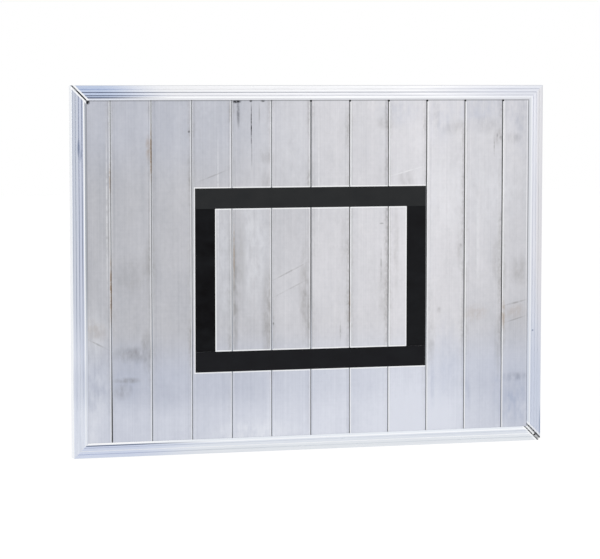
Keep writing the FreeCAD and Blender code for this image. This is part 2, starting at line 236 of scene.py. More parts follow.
# %% tone of the bare metal
def plank_tone(tree, coords, place, number, near_joint):
    """How light the metal is, from 0 to 1, with its die lines and streaks and painted light and shade across
    the board.
    """
    # die lines 3 mm apart, drawn coarser than the real ones so that they show
    die_lines = stretched_noise(tree, coords, 3 * MM, 900 * MM, 2.0)
    # rain streaks about 25 mm wide and 350 mm long
    streaks = stretched_noise(tree, coords, 25 * MM, 350 * MM, 4.0)
    # cloudy oxide 150 mm across
    clouds = stretched_noise(tree, coords, 150 * MM, 190 * MM, 5.0)
    plank_grey = add(tree, "ShaderNodeTexWhiteNoise", {"noise_dimensions": "1D"}, {"W": number})["Value"]
    # the edges of the die are worn, so the lines are deeper there
    line_share = add(tree, "ShaderNodeMapRange", {}, {
        "Value": near_joint, "To Min": 0.34, "To Max": 1.60,
    })[0]

    # painted light and shade: the planks grow lighter from the left towards x = 320 mm, and the right end is
    # darker again, more so lower down
    tone = add(tree, "ShaderNodeMapRange", SMOOTH, {
        "Value": place["X"], "From Min": -500 * MM, "From Max": 320 * MM, "To Min": 0.26, "To Max": 0.86,
    })[0]
    right_end_shade = add(tree, "ShaderNodeMapRange", SMOOTH, {
        "Value": place["X"], "From Min": 280 * MM, "From Max": 620 * MM, "To Min": 0, "To Max": -0.34,
    })[0]
    downward = add(tree, "ShaderNodeMapRange", {}, {
        "Value": place["Z"], "From Min": 400 * MM, "From Max": -400 * MM, "To Min": 0.3, "To Max": 1.9,
    })[0]
    right_end_shade = add(tree, "ShaderNodeMath", MULTIPLY, {0: right_end_shade, 1: downward})[0]
    foot = add(tree, "ShaderNodeMapRange", SMOOTH, {
        "Value": place["Z"], "From Min": -290 * MM, "From Max": -370 * MM, "To Min": 0, "To Max": 0.20,
    })[0]
    leftward = add(tree, "ShaderNodeMapRange", {}, {
        "Value": place["X"], "From Min": 100 * MM, "From Max": -200 * MM, "To Min": 1.0, "To Max": 1.9,
    })[0]
    foot = add(tree, "ShaderNodeMath", MULTIPLY, {0: foot, 1: leftward})[0]
    for change in (right_end_shade, foot):
        tone = add(tree, "ShaderNodeMath", {"operation": "ADD"}, {0: tone, 1: change})[0]
    # scratches run across the grain, and a fine mottle lies over everything
    scratches = stretched_noise(tree, coords, 70 * MM, 5 * MM, 4.0)
    mottle = stretched_noise(tree, coords, 9 * MM, 13 * MM, 5.0)
    patterns = (
        (plank_grey, 0.12), (clouds, 0.55), (streaks, 0.42), (die_lines, line_share),
        (scratches, 0.15), (mottle, 0.30),
    )
    for pattern, share in patterns:
        centred = add(tree, "ShaderNodeMath", SUBTRACT, {0: pattern, 1: 0.5})[0]
        tone = add(tree, "ShaderNodeMath", {"operation": "MULTIPLY_ADD"}, {
            0: centred, 1: share, 2: tone,
        })[0]
    return tone, die_lines, streaks


def plank_skin(tree, tone, place):
    """Colours of the bare metal: the sheltered grey, and the face, bluer at the foot as a painted cool
    reflection, and at the top left.
    """
    grey = add(tree, "ShaderNodeMix", COLOURS, {0: tone, 6: linear("#ABADB4"), 7: linear("#DFDEE2")})[2]
    blue = add(tree, "ShaderNodeMix", COLOURS, {0: tone, 6: linear("#AEB3C2"), 7: linear("#D9DCE6")})[2]
    # painted cool reflection: the face turns bluer towards the foot
    cool_reflection = add(tree, "ShaderNodeMapRange", SMOOTH, {
        "Value": place["Z"], "From Min": -130 * MM, "From Max": -265 * MM,
    })[0]
    skin = add(tree, "ShaderNodeMix", COLOURS, {0: cool_reflection, 6: grey, 7: blue})[2]
    high = add(tree, "ShaderNodeMapRange", SMOOTH, {
        "Value": place["Z"], "From Min": 170 * MM, "From Max": 350 * MM, "To Min": 0, "To Max": 0.5,
    })[0]
    left = add(tree, "ShaderNodeMapRange", SMOOTH, {
        "Value": place["X"], "From Min": 100 * MM, "From Max": -350 * MM,
    })[0]
    high_left = add(tree, "ShaderNodeMath", MULTIPLY, {0: high, 1: left})[0]
    face = add(tree, "ShaderNodeMix", COLOURS, {0: high_left, 6: skin, 7: blue})[2]
    return grey, face


print("bare metal runs from a dull grey to a pale one")

# %% [markdown]
# ## Marks listed one by one
#
# A ball, a ladder and the rain have left marks that are easy to point at: dribbles under the top of the
# frame, scuffs across a few planks, rust-coloured water stains down the first joints, grey smudges where
# hands have been and bluish stains. The shade marks and one smudge high on the right planks are painted
# shade under the frame's top lip instead. Each is an oval with soft edges, so a place, two half sizes and a
# lean describe it. A round gradient in a stretched and turned space gives such an oval, and noise breaks up
# its outline. The sizes are in millimetres from the board's middle.

# %% marks
black = (
    (-156, 352, 2.0, 66, 0, 1.05), (-155, 285, 1.8, 44, 0, 0.40), (-193, 411, 14, 6, 0, 1.10),
    (-189, 384, 5, 44, 1, 0.50), (-157, 412, 5, 4, 0, 0.90), (-127, 412, 7, 4, 0, 0.80),
    (-312, 338, 4.0, 4.0, 0, 0.75), (-559, 409, 6, 6, 0, 3.00), (-101, -135, 2.5, 5, 0, 0.60),
    (385, 49, 5, 8, 20, 0.30), (388, 250, 4, 6, 0, 0.30), (177, 108, 7, 2.5, 0, 0.40),
    (480, 325, 3, 8, 0, 0.30), (490, 318, 5, 6, 0, 0.30),
)
scuffs = (
    (-253, 230, 46, 2.2, 21, 0.30), (-59, -7, 60, 2.4, 26, 0.36), (-60, -50, 56, 2.2, 26, 0.26),
    (-537, -175, 36, 2.6, -28, 0.40), (531, -98, 36, 3.0, 13, 0.40), (531, -140, 36, 2.2, 16, 0.35),
    (71, -158, 3, 28, 0, 0.38), (176, 5, 2.5, 50, 0, 0.38), (472, 300, 2.0, 32, 0, 0.40),
    (-136, 380, 2.0, 34, 0, 0.30),
)
# the smudge at 552, 390 is painted shade at the top of the last plank, under the frame's lip
smudges_and_shade = (
    (-118, 277, 22, 26, 30, 0.50), (-120, 215, 14, 40, 0, 0.40), (-452, -202, 62, 24, -2, 0.75),
    (-420, -190, 16, 60, 0, 0.65), (-466, -264, 40, 9, 0, 0.90), (-478, -290, 28, 24, 20, 0.65),
    (-462, -10, 48, 60, 0, 0.35), (-419, 0, 16, 70, 0, 0.40), (-197, -60, 10, 190, 0, 0.95),
    (-117, -110, 16, 140, 0, 0.80), (-186, 20, 20, 150, 0, 0.50), (-20, -60, 18, 150, 0, 0.75),
    (484, 322, 18, 28, 0, 0.62), (526, 318, 30, 20, 0, 0.42), (481, 16, 16, 70, 0, 0.50),
    (543, -18, 34, 50, 0, 0.50), (529, -286, 44, 14, 3, 0.45), (488, -205, 18, 90, 0, 0.50),
    (185, 358, 26, 22, 0, 0.45), (370, 345, 46, 22, 10, 0.35), (455, 350, 50, 26, -4, 0.40),
    (240, 215, 30, 30, 0, 0.40), (328, -112, 7, 11, 0, 0.55), (308, -190, 14, 70, 0, 0.40),
    (318, 385, 12, 60, 0, 0.35), (385, 40, 16, 60, 0, 0.40), (80, 60, 12, 90, 0, 0.35),
    (180, -60, 16, 90, 0, 0.35), (552, 390, 44, 120, 0, 0.22), (215, 50, 9, 150, 0, 0.35),
)
rust = (
    (-507, 222, 3.0, 56, 0, 0.42), (-506, -45, 3.2, 100, 0, 0.80), (-406, 285, 3.0, 84, 0, 0.80),
    (-413, 300, 8, 36, 0, 0.30), (-200, 40, 2.6, 90, 0, 0.40), (425, -121, 42, 26, 12, 0.14),
    (499, -125, 6, 50, 0, 0.40), (95, -100, 3, 70, 0, 0.35), (531, -119, 36, 22, 14, 0.16),
    (-548, -140, 40, 30, -28, 0.14),
)
# the marks at z 375 to 395 mm are painted shade under the frame's top lip; the rest are bluish stains
shade = (
    (-455, -205, 60, 44, 0, 0.28), (-472, -275, 46, 44, 0, 0.28), (552, 385, 60, 130, 0, 0.42),
    (440, 395, 105, 70, 0, 0.40), (332, 375, 46, 100, 0, 0.36), (345, -240, 40, 130, 0, 0.35),
    (225, 385, 70, 50, 0, 0.30), (532, -345, 70, 84, 0, 0.80), (402, -330, 14, 80, 0, 0.5),
    (498, -340, 16, 70, 0, 0.6), (520, -289, 60, 16, 3, 0.9), (312, -300, 10, 72, 0, 0.6),
)
bright = (
    (240, 236, 54, 2.2, 15, 0.40), (-515, 150, 3, 250, 0, 0.35), (430, 60, 4, 160, 0, 0.25),
    (-240, 150, 3, 250, 0, 0.30), (15, 210, 3, 180, 0, 0.30), (-300, 20, 3, 300, 0, 0.30),
)
pale = (
    (-548, -290, 60, 130, 0, 0.60), (-550, -150, 44, 90, 0, 0.60), (-555, -385, 30, 70, 0, 0.55),
    (-150, 50, 60, 180, 0, 0.60), (400, 180, 230, 120, 0, 0.40), (-45, 270, 60, 130, 0, 0.30),
    (395, 25, 14, 60, 0, 0.50), (-150, -400, 130, 36, 0, 0.90), (-225, 10, 24, 230, 0, 0.50),
)


def marks_share(tree, coords, marks):
    """Share of a set of marks: each is x, z, half width, half height, lean in degrees and strength."""
    total = 0.0
    for x, z, half_width_mm, half_height_mm, lean, strength in marks:
        mapped = add(tree, "ShaderNodeMapping", {"vector_type": "TEXTURE"}, {
            "Vector": coords, "Location": (x * MM, plank_front, z * MM),
            "Rotation": (0, -math.radians(lean), 0), "Scale": (half_width_mm * MM, 1.0, half_height_mm * MM),
        })[0]
        oval = add(tree, "ShaderNodeTexGradient", {"gradient_type": "SPHERICAL"}, {
            "Vector": mapped,
        })["Fac"]
        oval = add(tree, "ShaderNodeMath", MULTIPLY, {0: oval, 1: 1.5 * strength})[0]
        oval = add(tree, "ShaderNodeMath", {"operation": "MINIMUM"}, {0: oval, 1: strength})[0]
        total = add(tree, "ShaderNodeMath", MAXIMUM, {0: total, 1: oval})[0]
    return total


def lay_marks(tree, coords, marks, grain, hex_code, colour):
    """Lay a set of marks over a colour, broken up by a grain."""
    share = marks_share(tree, coords, marks)
    share = add(tree, "ShaderNodeMath", MULTIPLY, {0: share, 1: grain})[0]
    return add(tree, "ShaderNodeMix", COLOURS, {0: share, 6: colour, 7: linear(hex_code)})[2]


print("marks:", sum(len(marks) for marks in (black, scuffs, smudges_and_shade, shade, rust, bright, pale)))

# %% [markdown]
# ## Joints, lip and film edge
#
# Each joint is a small V between two eased edges. The edge that faces the middle of the board carries a
# painted highlight, with a painted highlight on the face beside it, and the other edge carries painted shade,
# faint on the left and dark on the right, with dirt beside it on the far right; rain has rinsed the foot. A
# painted shadow line runs along the frame's lip, and the film has shrunk and left a clean line round itself.
# The solids already shape the V, so only colours are laid over the plank's here, by the place across the
# plank and by the way that a face points.


# %% joints
def joint_colours(tree, place):
    """Colours of a joint's shaded flank, a painted shade, and of its gap, and how dark: faint on the left,
    dark on the right.
    """
    depth = add(tree, "ShaderNodeMapRange", SMOOTH, {
        "Value": place["X"], "From Min": -130 * MM, "From Max": 30 * MM,
    })[0]
    # rain rinses the foot of the joints, except the first, which is black there
    low = add(tree, "ShaderNodeMapRange", SMOOTH, {
        "Value": place["Z"], "From Min": -50 * MM, "From Max": -200 * MM, "To Min": 0, "To Max": 0.8,
    })[0]
    first = add(tree, "ShaderNodeMapRange", {}, {
        "Value": place["X"], "From Min": -400 * MM, "From Max": -470 * MM,
    })[0]
    foot = add(tree, "ShaderNodeMapRange", {}, {
        "Value": place["Z"], "From Min": -190 * MM, "From Max": -330 * MM,
    })[0]
    first = add(tree, "ShaderNodeMath", MULTIPLY, {0: first, 1: foot})[0]
    shaded_flank_hex = ("#C6C8CC", "#7C7F83", "#C0C5D0", "#2E2F32")
    gap_hex = ("#9A9CA1", "#1B1C1E", "#7A808C", "#101113")
    colours = []
    for faint, dark, clean, dirty in (shaded_flank_hex, gap_hex):
        upper = add(tree, "ShaderNodeMix", COLOURS, {0: depth, 6: linear(faint), 7: linear(dark)})[2]
        lower = add(tree, "ShaderNodeMix", COLOURS, {0: first, 6: linear(clean), 7: linear(dirty)})[2]
        colours.append(add(tree, "ShaderNodeMix", COLOURS, {0: low, 6: upper, 7: lower})[2])
    return (*colours, depth)


def joint_edges(tree, place, across, colour):
    """Lay the eased edges over a colour: the flank facing the middle gets a painted highlight, the other
    painted shade.
    """
    shaded_flank, gap_colour, depth = joint_colours(tree, place)
    # beside the bright flank a painted highlight lies on the face too, and dirt lines it on the other side
    on_right = add(tree, "ShaderNodeMath", GREATER_THAN, {0: place["X"], 1: 0})[0]
    other_side = add(tree, "ShaderNodeMath", SUBTRACT, {0: 1, 1: on_right})[0]
    bands = []
    for side, start, end in ((other_side, 3.0 * MM, 4.5 * MM), (on_right, 2.6 * MM, 4.2 * MM)):
        beside = add(tree, "ShaderNodeMath", SUBTRACT, {0: across, 1: side})[0]
        beside = add(tree, "ShaderNodeMath", ABSOLUTE, {0: beside})[0]
        band = add(tree, "ShaderNodeMapRange", {}, {
            "Value": beside, "From Min": start / pitch, "From Max": end / pitch, "To Min": 0.5, "To Max": 0,
        })[0]
        bands.append(band)
    painted_highlight, dirty = bands
    # that dirt is on the far right only, and not at the foot
    far = add(tree, "ShaderNodeMapRange", {}, {
        "Value": place["X"], "From Min": 200 * MM, "From Max": 290 * MM,
    })[0]
    high = add(tree, "ShaderNodeMapRange", {}, {
        "Value": place["Z"], "From Min": -250 * MM, "From Max": -170 * MM, "To Min": 0.1, "To Max": 1,
    })[0]
    for share in (far, high):
        dirty = add(tree, "ShaderNodeMath", MULTIPLY, {0: dirty, 1: share})[0]
    for share, hex_code in ((painted_highlight, "#F4F5F7"), (dirty, "#55575B")):
        colour = add(tree, "ShaderNodeMix", COLOURS, {0: share, 6: colour, 7: linear(hex_code)})[2]
    # by the way that a face points, the eased edge facing the middle gets a painted highlight, the other
    # painted shade
    normal = add(tree, "ShaderNodeNewGeometry")["True Normal"]
    facing = add(tree, "ShaderNodeSeparateXYZ", {}, {0: normal})["X"]
    edge = add(tree, "ShaderNodeMath", ABSOLUTE, {0: facing})[0]
    edge = add(tree, "ShaderNodeMath", GREATER_THAN, {0: edge, 1: 0.3})[0]
    outward = add(tree, "ShaderNodeMath", MULTIPLY, {0: facing, 1: place["X"]})[0]
    outward = add(tree, "ShaderNodeMath", GREATER_THAN, {0: outward, 1: 0})[0]
    flank = add(tree, "ShaderNodeMix", COLOURS, {0: outward, 6: linear("#F6F7F8"), 7: shaded_flank})[2]
    colour = add(tree, "ShaderNodeMix", COLOURS, {0: edge, 6: colour, 7: flank})[2]
    # no light or rain reaches into the gap between two planks
    in_gap = add(tree, "ShaderNodeMapRange", {}, {
        "Value": place["Y"], "From Min": plank_front + 1.0 * MM, "From Max": plank_front + 1.6 * MM,
    })[0]
    return add(tree, "ShaderNodeMix", COLOURS, {0: in_gap, 6: colour, 7: gap_colour})[2], depth


print("joints every", round(pitch / MM), "mm")


# %% painted shadow along the frame's lip
def from_edge(tree, half, coordinate):
    """Distance in from the nearer of two edges, at half either side of the board's middle."""
    off_middle = add(tree, "ShaderNodeMath", ABSOLUTE, {0: coordinate})[0]
    return add(tree, "ShaderNodeMath", SUBTRACT, {0: half, 1: off_middle})[0]


def frame_shadow(tree, place, near_joint_line, depth, colour):
    """Lay the painted shadow line along the frame's lip, and a black painted shade where a joint runs under
    it.
    """
    from_side = from_edge(tree, seen_half_width, place["X"])
    from_top = add(tree, "ShaderNodeMath", SUBTRACT, {0: seen_half_height, 1: place["Z"]})[0]
    from_lip = add(tree, "ShaderNodeMath", {"operation": "MINIMUM"}, {0: from_side, 1: from_top})[0]
    on_right = add(tree, "ShaderNodeMath", GREATER_THAN, {0: place["X"], 1: 0})[0]
    side_share = add(tree, "ShaderNodeMapRange", {}, {
        "Value": on_right, "To Min": 0.55, "To Max": 0.60,
    })[0]
    # painted shadow of the lip on the plank, weaker lower down the sides
    line = add(tree, "ShaderNodeMapRange", {}, {
        "Value": from_side, "From Min": 1.2 * MM, "From Max": 2.8 * MM, "To Min": side_share, "To Max": 0,
    })[0]
    top_line = add(tree, "ShaderNodeMapRange", {}, {
        "Value": from_top, "From Min": 1.5 * MM, "From Max": 3.2 * MM, "To Min": 0.62, "To Max": 0,
    })[0]
    upper = add(tree, "ShaderNodeMapRange", {}, {
        "Value": place["Z"], "From Min": -180 * MM, "From Max": 40 * MM, "To Min": 0.3, "To Max": 1,
    })[0]
    line = add(tree, "ShaderNodeMath", MULTIPLY, {0: line, 1: upper})[0]
    line = add(tree, "ShaderNodeMath", MAXIMUM, {0: line, 1: top_line})[0]
    # on the right, the last plank has a thin painted highlight beside the painted shadow line
    painted_highlight = add(tree, "ShaderNodeMath", {"operation": "COMPARE"}, {
        0: from_side, 1: 3.8 * MM, 2: 1.3 * MM,
    })[0]
    for share in (on_right, upper, 0.5):
        painted_highlight = add(tree, "ShaderNodeMath", MULTIPLY, {0: painted_highlight, 1: share})[0]
    for share, hex_code in ((painted_highlight, "#F4F5F7"), (line, "#6C6E74")):
        colour = add(tree, "ShaderNodeMix", COLOURS, {0: share, 6: colour, 7: linear(hex_code)})[2]
    # painted shade: black where a joint runs in under the top lip
    under_top = add(tree, "ShaderNodeMath", LESS_THAN, {0: from_top, 1: 4.5 * MM})[0]
    dot = add(tree, "ShaderNodeMath", MULTIPLY, {0: under_top, 1: near_joint_line})[0]
    dot = add(tree, "ShaderNodeMath", MULTIPLY, {0: dot, 1: depth})[0]
    colour = add(tree, "ShaderNodeMix", COLOURS, {0: dot, 6: colour, 7: linear("#17181A")})[2]
    # behind the lip, only the open mitres show the planks: painted shade at the top left, painted light at
    # the bottom right
    hidden = add(tree, "ShaderNodeMath", LESS_THAN, {0: from_lip, 1: -1.0 * MM})[0]
    below = add(tree, "ShaderNodeMath", LESS_THAN, {0: place["Z"], 1: -seen_half_height})[0]
    hidden = add(tree, "ShaderNodeMath", MAXIMUM, {0: hidden, 1: below})[0]
    gap_light_and_shade = add(tree, "ShaderNodeMix", COLOURS, {
        0: on_right, 6: linear("#1E1F21"), 7: linear("#F7F9FB"),
    })[2]
    return add(tree, "ShaderNodeMix", COLOURS, {0: hidden, 6: colour, 7: gap_light_and_shade})[2]


print("lip ends", round(seen_half_width / MM), "and", round(seen_half_height / MM), "mm from the middle")


# %% clean line round the film
def film_margin(tree, place):
    """Share of the clean line round the film, which shrinks a little with age."""
    middle = (film_low + film_high) / 2
    half = (film_high - film_low) / 2
    margin = 3.0 * MM
    inside = []
    for shift in (margin, -film_width - margin):
        across = add(tree, "ShaderNodeMath", {"operation": "COMPARE"}, {
            0: place["X"], 1: middle.x, 2: half.x + shift,
        })
        up = add(tree, "ShaderNodeMath", {"operation": "COMPARE"}, {
            0: place["Z"], 1: middle.z, 2: half.z + shift,
        })
        both = add(tree, "ShaderNodeMath", MULTIPLY, {0: across[0], 1: up[0]})
        inside.append(both[0])
    ring = add(tree, "ShaderNodeMath", SUBTRACT, {0: inside[0], 1: inside[1]})[0]
    return add(tree, "ShaderNodeMath", MULTIPLY, {0: ring, 1: 0.75})[0]


print("film margin ready")


# %% plank aluminium
def plank_aluminium():
    """Satin grey metal: soft upright streaks, dirt at the joints, painted highlight and shade on the eased
    edges, black in the gaps.
    """
    material, tree = new_material("aluminium_extruded_weathered")
    coords, place, number, across, near_joint = plank_place(tree)
    tone, die_lines, streaks = plank_tone(tree, coords, place, number, near_joint)
    back_colour, face_colour = plank_skin(tree, tone, place)

    # dirt gathers within 16 mm of the joints, in speckled patches, most of it on the groove side of a plank,
    # and rain rinses it off the foot
    patches = noise_share(tree, coords, (40 * MM, 110 * MM, 3.0), (0.36, 0.70), (0.05, 0.75))
    speckle = noise_share(tree, coords, (5 * MM, 9 * MM, 5.0), (0.30, 0.70), (0.15, 1.0))
    groove_side = add(tree, "ShaderNodeMapRange", {}, {
        "Value": across, "From Min": 0.2, "From Max": 0.8, "To Min": 0.5, "To Max": 1,
    })[0]
    dirt = add(tree, "ShaderNodeMath", MULTIPLY, {0: near_joint, 1: groove_side})[0]
    dirt = add(tree, "ShaderNodeMath", {"operation": "ADD"}, {0: dirt, 1: 0.15})[0]
    rinsed = add(tree, "ShaderNodeMapRange", SMOOTH, {
        "Value": place["Z"], "From Min": -150 * MM, "From Max": -300 * MM, "To Min": 1, "To Max": 0.3,
    })[0]
    for share in (speckle, patches, rinsed):
        dirt = add(tree, "ShaderNodeMath", MULTIPLY, {0: dirt, 1: share})[0]
    colour = add(tree, "ShaderNodeMix", COLOURS, {0: dirt, 6: face_colour, 7: linear("#8A8783")})[2]

    cloudy = noise_share(tree, coords, (12 * MM, 30 * MM, 5.0), (0.32, 0.70), (0.05, 0.65))
    broken = noise_share(tree, coords, (14 * MM, 16 * MM, 3.0), (0.38, 0.55), (0.25, 1.0))
    for marks, hex_code in ((pale, "#EBEDF2"), (shade, "#97A2BC"), (smudges_and_shade, "#77736E")):
        colour = lay_marks(tree, coords, marks, cloudy, hex_code, colour)
    for marks, hex_code in ((bright, "#F4F5F7"), (scuffs, "#6E6C68"), (black, "#232427")):
        colour = lay_marks(tree, coords, marks, broken, hex_code, colour)

    clean_line = film_margin(tree, place)
    colour = add(tree, "ShaderNodeMix", COLOURS, {0: clean_line, 6: colour, 7: linear("#F4F5F6")})[2]
    colour, depth = joint_edges(tree, place, across, colour)
    colour = lay_marks(tree, coords, rust, broken, "#96743F", colour)
    at_joint = add(tree, "ShaderNodeMath", {"operation": "PINGPONG"}, {0: across, 1: 0.5})[0]
    at_joint = add(tree, "ShaderNodeMath", LESS_THAN, {0: at_joint, 1: 2.6 * MM / pitch})[0]
    colour = frame_shadow(tree, place, at_joint, depth, colour)

    # the back has none of this: it keeps the bare metal
    in_front = add(tree, "ShaderNodeMath", LESS_THAN, {
        0: place["Y"], 1: (plank_front + plank_back) / 2,
    })[0]
    colour = add(tree, "ShaderNodeMix", COLOURS, {0: in_front, 6: back_colour, 7: colour})[2]
    finish_metal(tree, colour, (streaks, 0.2, 0.8), (0.36, 0.52), die_lines, 0.03 * MM)
    return material


plank_metal = plank_aluminium()
plank_nodes = [name for name in nodes if name.startswith("plank_")]
for name in plank_nodes:
    dress(name, plank_metal)
print("planks dressed:", len(plank_nodes))

# %% [markdown]
# ## The edge frame: bright extruded aluminium
#
# The frame is the same metal from a finer die. Its lines run along each member, so the upright members need
# the pattern turned. Each member is tinted with painted light and shade for how it faces the light, and the
# tint also changes from one end to the other. The outer edge and the three drawn grooves of the face carry
# painted shade where their tint is dark and painted light where it is white, the edge of the bevel has a
# painted highlight and the bevel below it its own painted light and shade, and the sawn ends at the two open
# mitres carry painted shadow with a painted highlight beside it. The distance to the board's edge tells the
# material where it is.


# %% distance in from the board's edge
def frame_place(tree):
    """Coordinates, their parts, distance in from the nearest edge, and distance from the mitre line."""
    coords = add(tree, "ShaderNodeTexCoord")["Object"]
    place = add(tree, "ShaderNodeSeparateXYZ", {}, {0: coords})
    from_side = from_edge(tree, half_width, place["X"])
    from_end = from_edge(tree, half_height, place["Z"])
    inset = add(tree, "ShaderNodeMath", {"operation": "MINIMUM"}, {0: from_side, 1: from_end})[0]
    off_mitre = add(tree, "ShaderNodeMath", SUBTRACT, {0: from_side, 1: from_end})[0]
    off_mitre = add(tree, "ShaderNodeMath", ABSOLUTE, {0: off_mitre})[0]
    return coords, place, inset, off_mitre


print("frame lip is", lip_width / MM, "mm wide")


# %% drawn lines and mitres
# the outer edge and the three grooves, from the board's edge inwards
line_places = [2.4 * MM, 9.5 * MM, 17.25 * MM, 25.0 * MM]
line_half_width = 0.9 * MM
bevel_start = 30 * MM
ridge_half_width = 1.5 * MM


def drawn_lines(tree, inset, along, shares):
    """Share of the painted shade and light along the outer edge and in the three grooves, with a strength for
    either end.
    """
    total = 0.0
    for middle, (low, high) in zip(line_places, shares):
        line = add(tree, "ShaderNodeMath", {"operation": "COMPARE"}, {
            0: inset, 1: middle, 2: line_half_width,
        })[0]
        share = add(tree, "ShaderNodeMapRange", {}, {"Value": along, "To Min": low, "To Max": high})[0]
        total = add(tree, "ShaderNodeMath", {"operation": "MULTIPLY_ADD"}, {
            0: line, 1: share, 2: total,
        })[0]
    return total


def open_mitres(tree, coords, place, inset, off_mitre, colour):
    """Lay the sawn ends over a colour: broken dark lines of painted shadow beside the gap, and a painted
    highlight beside those.
    """
    corner = add(tree, "ShaderNodeMath", MULTIPLY, {0: place["X"], 1: place["Z"]})[0]
    corner = add(tree, "ShaderNodeMath", LESS_THAN, {0: corner, 1: 0})[0]
    # half of the gap and the painted shadow beside it, wider at the bottom right
    sawn = add(tree, "ShaderNodeMapRange", {}, {
        "Value": place["X"], "From Min": -100 * MM, "From Max": 100 * MM,
        "To Min": 2.5 * MM, "To Max": 8.0 * MM,
    })[0]
    highlight_reach = add(tree, "ShaderNodeMath", {"operation": "ADD"}, {0: sawn, 1: 6 * MM})[0]
    edge_highlight = add(tree, "ShaderNodeMapRange", {}, {
        "Value": place["X"], "From Min": -100 * MM, "From Max": 100 * MM, "To Min": 0.95, "To Max": 0.60,
    })[0]
    broken = noise_share(tree, coords, (5 * MM, 5 * MM, 2.0), (0.35, 0.55), (0.65, 1.0))
    outer_end = add(tree, "ShaderNodeMapRange", {}, {
        "Value": inset, "From Min": 4 * MM, "From Max": 10 * MM, "To Min": 1, "To Max": 0,
    })[0]
    broken = add(tree, "ShaderNodeMath", MAXIMUM, {0: broken, 1: outer_end})[0]
    for reach, share, hex_code in ((highlight_reach, edge_highlight, "#FBFCFD"), (sawn, broken, "#1A1B1E")):
        near = add(tree, "ShaderNodeMath", LESS_THAN, {0: off_mitre, 1: reach})[0]
        near = add(tree, "ShaderNodeMath", MULTIPLY, {0: near, 1: corner})[0]
        near = add(tree, "ShaderNodeMath", MULTIPLY, {0: near, 1: share})[0]
        colour = add(tree, "ShaderNodeMix", COLOURS, {0: near, 6: colour, 7: linear(hex_code)})[2]
    return colour


print("drawn lines at", [place / MM for place in line_places], "mm")


# %% frame face
def frame_face(tree, look, along, inset, streaks):
    """Colour of a member's face, tinted with painted light and shade, and of its grooves, ridge and bevel,
    all changing along it.
    """
    colour, *edge_tints = (
        add(tree, "ShaderNodeMix", COLOURS, {0: along, 6: linear(low), 7: linear(high)})[2]
        for low, high in (look["face"], look["groove"], look["ridge"], look["bevel"])
    )
    cool = add(tree, "ShaderNodeMapRange", {}, {
        "Value": streaks, "From Min": 0.40, "From Max": 0.68, "To Min": 0, "To Max": look["cool"],
    })[0]
    outer_half = add(tree, "ShaderNodeMapRange", SMOOTH, {
        "Value": inset, "From Min": 20 * MM, "From Max": 11 * MM, "To Min": 0, "To Max": 0.65,
    })[0]
    outer_half = add(tree, "ShaderNodeMath", MULTIPLY, {0: outer_half, 1: along})[0]
    # the side wall is painted light on the left member and painted shade on the right
    side_wall_light_and_shade = add(tree, "ShaderNodeMapRange", {}, {
        "Value": inset, "From Min": 1.6 * MM, "From Max": 0.4 * MM, "To Min": 0, "To Max": 0.95,
    })[0]
    layers = ((cool, "#A9B3C8"), (outer_half, look["outer"]), (side_wall_light_and_shade, look["side"]))
    for share, hex_code in layers:
        colour = add(tree, "ShaderNodeMix", COLOURS, {0: share, 6: colour, 7: linear(hex_code)})[2]
    return colour, edge_tints


print("frame face ready")


# %% frame aluminium
def frame_aluminium(look):
    """Pale, smooth metal with drawn lines along it, painted shade and light in the grooves, a painted
    highlight on the bevel edge and a clean back.
    """
    material, tree = new_material(look["name"])
    coords, place, inset, off_mitre = frame_place(tree)
    fine = (2.5 * MM, 700 * MM)
    broad = (9 * MM, 160 * MM)
    upright = look["along"] == "Z"
    die_lines = stretched_noise(tree, coords, *(fine if upright else fine[::-1]), 2.0)
    streaks = stretched_noise(tree, coords, *(broad if upright else broad[::-1]), 4.0)
    start, end = look["turn"]
    along = add(tree, "ShaderNodeMapRange", SMOOTH, {
        "Value": place[look["along"]], "From Min": start * MM, "From Max": end * MM,
    })[0]
    colour, edge_tints = frame_face(tree, look, along, inset, streaks)

    grooves = drawn_lines(tree, inset, along, look["lines"])
    ridge = add(tree, "ShaderNodeMath", {"operation": "COMPARE"}, {
        0: inset, 1: bevel_start, 2: ridge_half_width,
    })[0]
    fall = add(tree, "ShaderNodeMath", GREATER_THAN, {0: inset, 1: bevel_start + ridge_half_width})[0]
    dull = marks_share(tree, coords, look["dull"])
    smudge_and_shade = marks_share(tree, coords, look["smudges_and_shade"])
    shaped = colour
    tints = (*edge_tints, linear("#D8DAE2"), linear("#6F7E9C"))
    # the grooves get painted shade and light, the ridge a painted highlight, the fall of the bevel painted
    # light and shade, and the last marks hold painted shade at the right member's foot
    for share, over in zip((grooves, ridge, fall, dull, smudge_and_shade), tints):
        shaped = add(tree, "ShaderNodeMix", COLOURS, {0: share, 6: shaped, 7: over})[2]
    shaped = open_mitres(tree, coords, place, inset, off_mitre, shaped)
    in_front = add(tree, "ShaderNodeMath", LESS_THAN, {0: place["Y"], 1: plank_front})[0]
    colour = add(tree, "ShaderNodeMix", COLOURS, {0: in_front, 6: colour, 7: shaped})[2]
    behind = add(tree, "ShaderNodeMath", GREATER_THAN, {0: place["Y"], 1: plank_back})[0]
    colour = add(tree, "ShaderNodeMix", COLOURS, {0: behind, 6: colour, 7: linear("#CFD1D5")})[2]
    drawn = add(tree, "ShaderNodeMapRange", {}, {
        "Value": die_lines, "From Min": 0.35, "From Max": 0.70, "To Min": 0, "To Max": 0.14,
    })[0]
    colour = add(tree, "ShaderNodeMix", COLOURS, {0: drawn, 6: colour, 7: linear("#AEB4C0")})[2]

    finish_metal(tree, colour, (streaks, 0.2, 0.8), (0.24, 0.40), die_lines, 0.02 * MM)
    return material


print("frame metal ready")
